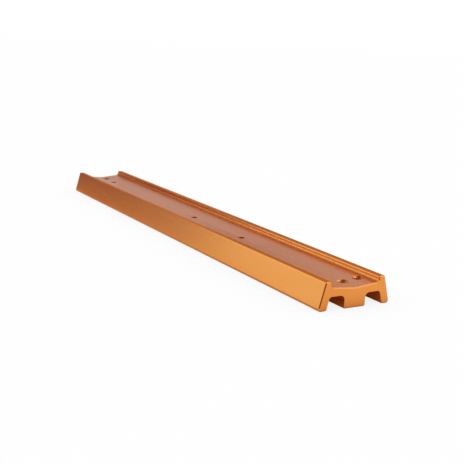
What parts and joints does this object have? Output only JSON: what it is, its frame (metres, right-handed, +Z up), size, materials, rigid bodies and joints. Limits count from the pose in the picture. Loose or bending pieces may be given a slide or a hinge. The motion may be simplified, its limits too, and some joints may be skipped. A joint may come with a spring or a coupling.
{
  "type": "aluminium extrusion profile",
  "caption": "Straight orange-anodised aluminium extrusion of dovetail section, with a shallow V-floored cradle between raised lips, underside channels beside a middle rib, and screw holes.",
  "frame": {"origin": "middle of the bar's length and width, on the plane that the feet and the rib stand on", "axes": "+Y along the bar towards its back end, +Z up from the feet to the lips, +X across"},
  "size_m": [0.0748, 0.5842, 0.0254],
  "materials": {
    "orange_anodised": "satin orange anodised"
  },
  "bodies": {
    "root": {"dovetail_bar": "orange_anodised"}
  },
  "joints": []
}
